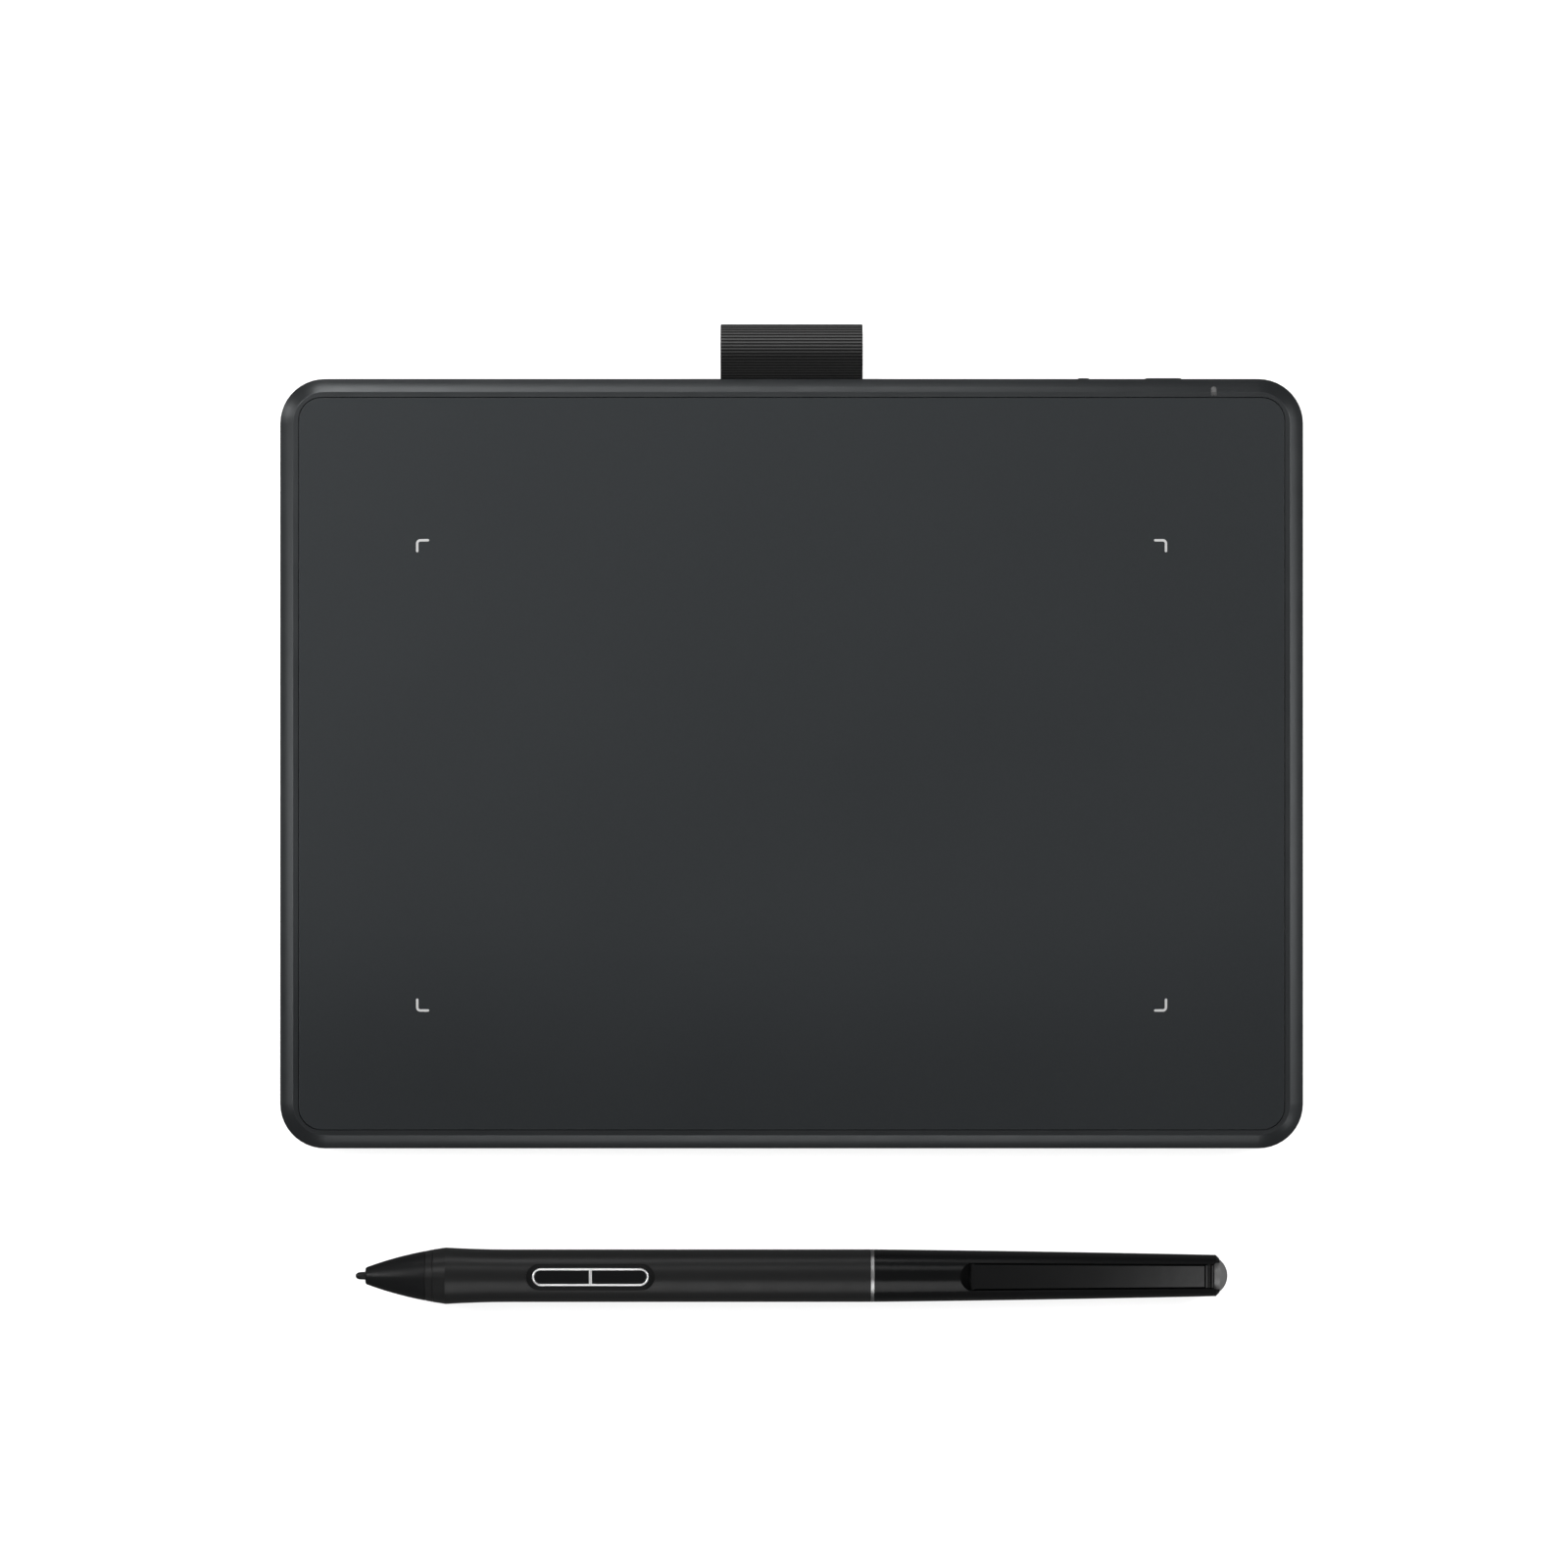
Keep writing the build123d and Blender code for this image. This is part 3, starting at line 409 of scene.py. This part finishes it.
def floor_material():
    """Pale opal sheet of a light table."""
    look = Look("pale_floor", Specular_IOR_Level=0.0, Emission_Color=(1, 1, 1, 1),
                Emission_Strength=0.76)
    look.colour(look.ramp(look.noise(0.4, 3), grey(0.36), grey(0.38), *SPREAD))
    look.gloss(look.ramp(look.noise(0.2, 2), 0.85, 0.95, *SPREAD))
    return look


def paint_nodes():
    """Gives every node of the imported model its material."""
    shared = {
        casing_material(): ["top_cover"],
        sheet_material(): ["drawing_surface"],
        bottom_material(): ["bottom_cover"],
        rubber_material(): ["rubber_feet"],
        steel_material("black_screws", 0.12, 0.35): ["case_screws", "board_screws"],
        guide_material(): ["light_guide"],
        steel_material("drawn_steel", 0.55, 0.25): ["loop_rod"],
        steel_material("socket_steel", 0.5, 0.28, (40, 1, 40)): [
            "usb_socket_shell", "pen_tact_switches",
        ],
        board_material(): ["sensor_board", "control_board", "pen_board"],
        foil_material("shield_foil", 0.6): ["shield_plate"],
        foil_material("battery_foil", 0.5): ["battery"],
        chip_material(): ["control_chips"],
        connector_material(): ["battery_connector", "ribbon_connectors", "power_switch_plunger"],
        moulded("dark_nylon", 0.010, 0.5): [
            "usb_socket_tongue", "power_switch_body", "mode_switch_body", "pen_pressure_sensor",
            "pen_chassis",
        ],
        lamp_material(): ["status_led"],
        moulded("button_plastic", 0.016, 0.38, grain=0.15 * MM, depth=0.003 * MM): [
            "power_button", "mode_switch_knob",
        ],
        insulation_material("red_insulation", (0.4, 0.012, 0.012)): ["battery_lead_red"],
        insulation_material("black_insulation", (0.012, 0.012, 0.012)): ["battery_lead_black"],
        ribbon_material(): ["sensor_ribbon"],
        moulded("nib_plastic", 0.003, 0.45, grain=0.1 * MM, depth=0.002 * MM, specular=0.2): [
            "pen_nib",
        ],
        moulded("nose_plastic", 0.0055, 0.36, grain=0.12 * MM, depth=0.002 * MM, specular=0.10): [
            "pen_nose_cone",
        ],
        grip_material(): ["pen_front_barrel"],
        gloss_black("key_plastic", 0.004, 0.26, 0.15): ["pen_front_key", "pen_rear_key"],
        plated_material("frame_plating", 0.78): ["pen_key_frame"],
        plated_material("ring_plating", 0.255): ["pen_ring"],
        gloss_black("rear_barrel", 0.0036, 0.22, 0.10): ["pen_rear_barrel"],
        gloss_black("clip_plastic", 0.0025, 0.11, 0.4): ["pen_clip", "pen_clip_anchor"],
        cap_material(): ["pen_tail_cap"],
        ferrite_material(): ["pen_ferrite_core"],
        copper_material(): ["pen_coil"],
    }
    for look, names in shared.items():
        for name in names:
            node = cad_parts[name]
            node.data.materials.clear()
            node.data.materials.append(look.material)


# ---- Pieces ---------------------------------------------------------------------------


def mesh_object(name, vertices, faces, look, smooth=True):
    """A linked mesh object with one material."""
    mesh = bpy.data.meshes.new(name)
    mesh.from_pydata(vertices, [], faces)
    mesh.validate()
    mesh.materials.append(look.material)
    if smooth:
        mesh.shade_smooth()
    piece = bpy.data.objects.new(name, mesh)
    bpy.context.scene.collection.objects.link(piece)
    return piece


MARK_STROKE = 0.52 * MM
MARK_LEG = 2.8 * MM              # from the outer corner to a leg's end
MARK_BEND = 0.95 * MM            # outer radius of the bend
MARK_RISE = 0.02 * MM            # thickness of the ink
MARK_WALL = 0.7                  # share of the rise that is upright, below the softened edge
MARK_EDGE = 0.03 * MM            # how far the softened edge draws in
MARK_REACH = (79.7 * MM, 50.05 * MM)    # from the active area's middle to a stroke's middle
ACTIVE_SHIFT = -2.5 * MM         # along Y, from the sheet's middle to the active area's


def mark_outline():
    """Outline of one corner mark, its corner at the upper left, from the middle lines' corner."""
    half = MARK_STROKE / 2
    inner = MARK_BEND - MARK_STROKE
    leg = MARK_LEG - half
    points = []

    def arc(x, y, radius, start, end, steps):
        for step in range(steps + 1):
            angle = radians(start + (end - start) * step / steps)
            points.append((x + radius * cos(angle), y + radius * sin(angle)))

    arc(leg - half, 0, half, -90, 90, 8)                              # end of the leg along x
    arc(MARK_BEND - half, half - MARK_BEND, MARK_BEND, 90, 180, 8)    # outer bend
    arc(0, half - leg, half, 180, 360, 8)                             # end of the leg along y
    arc(half + inner, -half - inner, inner, 180, 90, 6)               # inner bend
    return points


def make_mark(name, flip_x, flip_y, look):
    """One corner mark: a thin layer of ink with a softened edge, on the drawing sheet."""
    centre_x = middle.x + flip_x * MARK_REACH[0]
    centre_y = middle.y + ACTIVE_SHIFT + flip_y * MARK_REACH[1]
    outline = [(centre_x - flip_x * x, centre_y + flip_y * y) for x, y in mark_outline()]
    if flip_x * flip_y > 0:
        outline.reverse()
    count = len(outline)
    levels = [(0.0, 0.0), (MARK_WALL * MARK_RISE, 0.0), (MARK_RISE, MARK_EDGE)]
    vertices = []
    for rise, inset in levels:
        for index, (x, y) in enumerate(outline):
            before, after = outline[index - 1], outline[(index + 1) % count]
            along = Vector((after[0] - before[0], after[1] - before[1])).normalized()
            vertices.append((x - along.y * inset, y + along.x * inset, sheet_high.z + rise))
    top = (len(levels) - 1) * count
    faces = [tuple(range(count))[::-1], tuple(range(top, top + count))]
    for level in range(len(levels) - 1):
        for index in range(count):
            a, b = level * count + index, level * count + (index + 1) % count
            faces.append((a, b, b + count, a + count))
    piece = mesh_object(name, vertices, faces, look, smooth=False)
    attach(piece, "tablet")


BAND = 0.72 * MM                 # thickness of the band between its ribs
RIB_PITCH = 0.645 * MM
RIB_START = 0.04 * MM            # from the front of the rod to the first rib
RIB_RISE = 0.2 * MM
RIB_HALF = 0.31                  # half of a rib's width, as a share of the pitch
RIB_STEPS = (0.0, 0.12, 0.22, 0.30, 0.40, 0.60, 0.70, 0.78, 0.88)    # samples along one pitch
SELVAGE = 0.25 * MM              # the rounded strip along each of the band's edges
SELVAGE_THIN = 0.3               # how much thinner the band is at its very edge
COLUMNS = 40                     # faces across the band
CHORDS = 40                      # short chords between two points of the band's route
SLOT_WAY = (1.4 * MM, 0.2 * MM)  # the band runs level between these distances inside the casing
SWELL = 1.3                      # how slowly the loop opens behind the casing


def loop_route():
    """Middle line of the band in the plane across it, from the rod, round and back, as (y, z)."""
    level = (rod_low.z + rod_high.z) / 2
    rod_y = (rod_low.y + rod_high.y) / 2
    surface = BAND / 2 + RIB_RISE
    far = loop_high.y - surface
    crest_y = rear_y + LOOP_CREST
    crest = (loop_high.z - loop_low.z) / 2 - surface
    wrap = (rod_high.z - rod_low.z) / 2 + surface
    upper = [(rod_y - wrap * cos(angle), wrap * sin(angle)) for angle in (0, pi / 4, pi / 2)]
    upper += [(rod_y + 2 * wrap, surface)]
    upper += [(rear_y - inside, surface) for inside in SLOT_WAY]
    upper += [
        (rear_y + share * LOOP_CREST, surface + (crest - surface) * sin(share * pi / 2) ** SWELL)
        for share in (0.25, 0.5, 0.75)
    ]
    upper += [
        (crest_y + (far - crest_y) * sin(angle), crest * cos(angle))
        for angle in (0, pi / 8, pi / 4, 3 * pi / 8, pi / 2)
    ]
    lower = [(y, -z) for y, z in upper[-2:0:-1]]
    return [(y, level + z) for y, z in upper + lower]


def smooth_ring(points):
    """A closed Catmull-Rom curve through the points as short chords, and the way walked at each."""
    count = len(points)
    fine = []
    for index in range(count):
        p0, p1, p2, p3 = (Vector(points[(index + k) % count]) for k in (-1, 0, 1, 2))
        for step in range(CHORDS):
            t = step / CHORDS
            fine.append(0.5 * (2 * p1 + (p2 - p0) * t + (2 * p0 - 5 * p1 + 4 * p2 - p3) * t**2
                               + (3 * p1 - p0 - 3 * p2 + p3) * t**3))
    fine.append(fine[0])
    walked = [0.0]
    for before, after in zip(fine, fine[1:]):
        walked.append(walked[-1] + (after - before).length)
    return fine, walked


def along_ring(fine, walked, distances):
    """Points of the curve at those distances."""
    places = []
    for distance in distances:
        index = bisect(walked, distance) - 1
        share = (distance - walked[index]) / (walked[index + 1] - walked[index])
        places.append(fine[index].lerp(fine[index + 1], share))
    return places


def make_loop():
    """The ribbed elastic band: one closed ring round the rod and out through the casing's slot.

    Its outer skin is the first half of the vertices and its inner skin the second half.
    """
    fine, walked = smooth_ring(loop_route())
    length = walked[-1]
    ribs = round(length / RIB_PITCH)
    start = RIB_START * ribs / length
    ring = along_ring(fine, walked, [
        (rib + start + step) % ribs * length / ribs for rib in range(ribs) for step in RIB_STEPS
    ])
    count = len(ring)
    low_x, width = loop_low.x, loop_high.x - loop_low.x
    vertices = []
    for side in (1, -1):
        for index, point in enumerate(ring):
            along = (ring[(index + 1) % count] - ring[index - 1]).normalized()
            outward = Vector((-along.y, along.x)) * side
            step = RIB_STEPS[index % len(RIB_STEPS)]
            off = min(step, 1 - step) / RIB_HALF
            rib = RIB_RISE * sqrt(max(0.0, 1 - off**2)) if side > 0 else 0.0
            for column in range(COLUMNS + 1):
                share = 0.5 - 0.5 * cos(pi * column / COLUMNS)
                edge = min(share, 1 - share) * width / SELVAGE
                rounded = 1 - SELVAGE_THIN * max(0.0, 1 - edge) ** 2
                place = point + outward * (BAND / 2 * rounded + rib * rounded)
                vertices.append((low_x + width * share, place.x, place.y))
    faces, on_rib = [], []
    row = COLUMNS + 1
    inside = count * row
    for index in range(count):
        ahead = (index + 1) % count
        first = RIB_STEPS[index % len(RIB_STEPS)]
        last = RIB_STEPS[ahead % len(RIB_STEPS)] or 1.0
        ribbed = min(first + last, 2 - first - last) < 2 * RIB_HALF
        for column in range(COLUMNS):
            a, b = index * row + column, ahead * row + column
            faces.append((a, b, b + 1, a + 1))
            faces.append((inside + a, inside + a + 1, inside + b + 1, inside + b))
            on_rib += [ribbed, False]
        left, left_ahead = index * row, ahead * row
        right, right_ahead = left + COLUMNS, left_ahead + COLUMNS
        faces.append((left, inside + left, inside + left_ahead, left_ahead))
        faces.append((right, right_ahead, inside + right_ahead, inside + right))
        on_rib += [ribbed, ribbed]
    # The ground between the ribs is painted much darker than the ribs and takes almost none of the
    # painted highlight: partly the weave's own colour, partly painted shade in the grooves.
    piece = mesh_object("loop_band", vertices, faces, band_material("loop_ground", 0.0015, 0.002))
    piece.data.materials.append(band_material("loop_ribs", 0.0085, 0.047).material)
    for polygon, ribbed in zip(piece.data.polygons, on_rib):
        polygon.material_index = int(ribbed)
    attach(piece, "tablet")
    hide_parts("pen_loop")


# ---- Surroundings ---------------------------------------------------------------------


FLOOR_HALF = 3.0
FLOOR_STEPS = 24
FLOOR_DROP = 0.05 * MM           # a hair below the feet, so that no faces coincide
FLOOR_FLAT = 1.6                 # radius of the flat part
FLOOR_CURL = 0.25                # how fast the floor rises beyond it


def make_floor():
    """A wide pale floor with gently raised edges."""
    row_length = FLOOR_STEPS + 1
    vertices, faces = [], []
    for row in range(row_length):
        for column in range(row_length):
            x = -FLOOR_HALF + 2 * FLOOR_HALF * column / FLOOR_STEPS
            y = -FLOOR_HALF + 2 * FLOOR_HALF * row / FLOOR_STEPS
            lift = FLOOR_CURL * max(0.0, hypot(x, y) - FLOOR_FLAT) ** 2
            vertices.append((x, y, lift - FLOOR_DROP))
    for row in range(FLOOR_STEPS):
        for column in range(FLOOR_STEPS):
            a = row * row_length + column
            faces.append((a, a + 1, a + row_length + 1, a + row_length))
    floor = mesh_object("floor", vertices, faces, floor_material())
    floor.visible_glossy = False        # the photograph's cut-out background mirrors in nothing


def polar(azimuth, elevation, distance):
    """A place at that bearing, in degrees from +X towards +Y, and that distance in metres."""
    out = distance * cos(radians(elevation))
    height = distance * sin(radians(elevation))
    return Vector((out * cos(radians(azimuth)), out * sin(radians(azimuth)), height))


def hang(name, data, place, direction):
    """Links a light at a place, shining in a direction."""
    light = bpy.data.objects.new(name, data)
    light.location = place
    light.rotation_mode = "QUATERNION"
    light.rotation_quaternion = direction.to_track_quat("-Z", "Y")
    light.visible_camera = False
    bpy.context.scene.collection.objects.link(light)


def softbox(name, azimuth, elevation, distance, side, power):
    """A square area light that faces the tablet."""
    data = bpy.data.lights.new(name, "AREA")
    data.shape = "SQUARE"
    data.size = side
    data.energy = power
    place = polar(azimuth, elevation, distance)
    hang(name, data, place, -place)


SPOT_CONE = 60                   # full angle of a spot's cone, in degrees
SPOT_END = 12.5 * MM             # how far behind the sheet's front edge a spot's pool ends


def flagged_spot(name, azimuth, elevation, distance, power):
    """A wide spot whose pool of light ends softly just behind the sheet's front edge."""
    data = bpy.data.lights.new(name, "SPOT")
    data.energy = power
    data.spot_size = radians(SPOT_CONE)
    data.spot_blend = 0.04
    data.shadow_soft_size = 0.02
    place = polar(azimuth, elevation, distance)
    edge = Vector((0, sheet_low.y + SPOT_END, 0))
    towards = (edge - place).normalized()
    across = (Vector((1, 0, 0)) - towards * towards.x).normalized()
    hang(name, data, place, Quaternion(across, radians(SPOT_CONE / 2)) @ towards)


LARGE, SMALL = 0.32, 0.12        # sides of the softboxes
SOFTBOXES = (                    # name, azimuth, elevation, distance, side, power
    ("right_key", 15, 40, 1.15, LARGE, 8.5),
    ("rear_left_key", 135, 55, 1.15, LARGE, 2.2),
    ("left_low", 157, 12, 1.15, LARGE, 2.4),
    ("front_high", 270, 55, 1.15, LARGE, 1.7),
    ("front_middle", 270, 40, 1.15, LARGE, 1.6),
    ("front_low", 270, 25, 1.15, LARGE, 1.2),
    ("front_right_low", 330, 25, 1.15, LARGE, 1.2),
    ("rear_high", 90, 55, 1.15, LARGE, 1.2),
    ("left_near", 180, 40, 0.5, SMALL, 0.81),
    ("rear_left_near", 110, 22, 0.45, SMALL, 0.53),
    ("left_edge", 180, 22, 0.5, SMALL, 0.21),
    ("right_edge", 0, 22, 0.5, SMALL, 0.21),
    ("rear_edge", 90, 20, 0.5, SMALL, 0.20),
    ("clip_gleam", 330, 69, 0.85, SMALL, 0.03),
    ("clip_root_gleam", 323, 73.4, 1.04, SMALL, 0.11),
)
SPOTS = (                        # name, azimuth, elevation, distance, power
    ("rear_left_spot", 135, 57, 1.43, 24),
    ("rear_spot", 90, 73, 1.57, 6.5),
)


def make_lights():
    """Dim surroundings, large softboxes far off, small ones close by, and two spots."""
    world = bpy.data.worlds.new("studio")
    bpy.context.scene.world = world
    world.use_nodes = True
    background = world.node_tree.nodes["Background"]
    background.inputs["Color"].default_value = (1, 1, 1, 1)
    background.inputs["Strength"].default_value = 0.15
    for softbox_row in SOFTBOXES:
        softbox(*softbox_row)
    for spot_row in SPOTS:
        flagged_spot(*spot_row)


def colour_settings():
    """Plain display of the colours."""
    scene = bpy.context.scene
    scene.view_settings.view_transform = "Standard"
    scene.view_settings.look = "None"
    scene.view_settings.exposure = 0
    scene.view_settings.gamma = 1


# ---- The scene ------------------------------------------------------------------------

make_camera()
colour_settings()
make_lights()
make_floor()
paint_nodes()
ink = ink_material()
for mark_name, mark_x, mark_y in (
    ("mark_rear_left", -1, 1), ("mark_rear_right", 1, 1),
    ("mark_front_left", -1, -1), ("mark_front_right", 1, -1),
):
    make_mark(mark_name, mark_x, mark_y, ink)
make_loop()
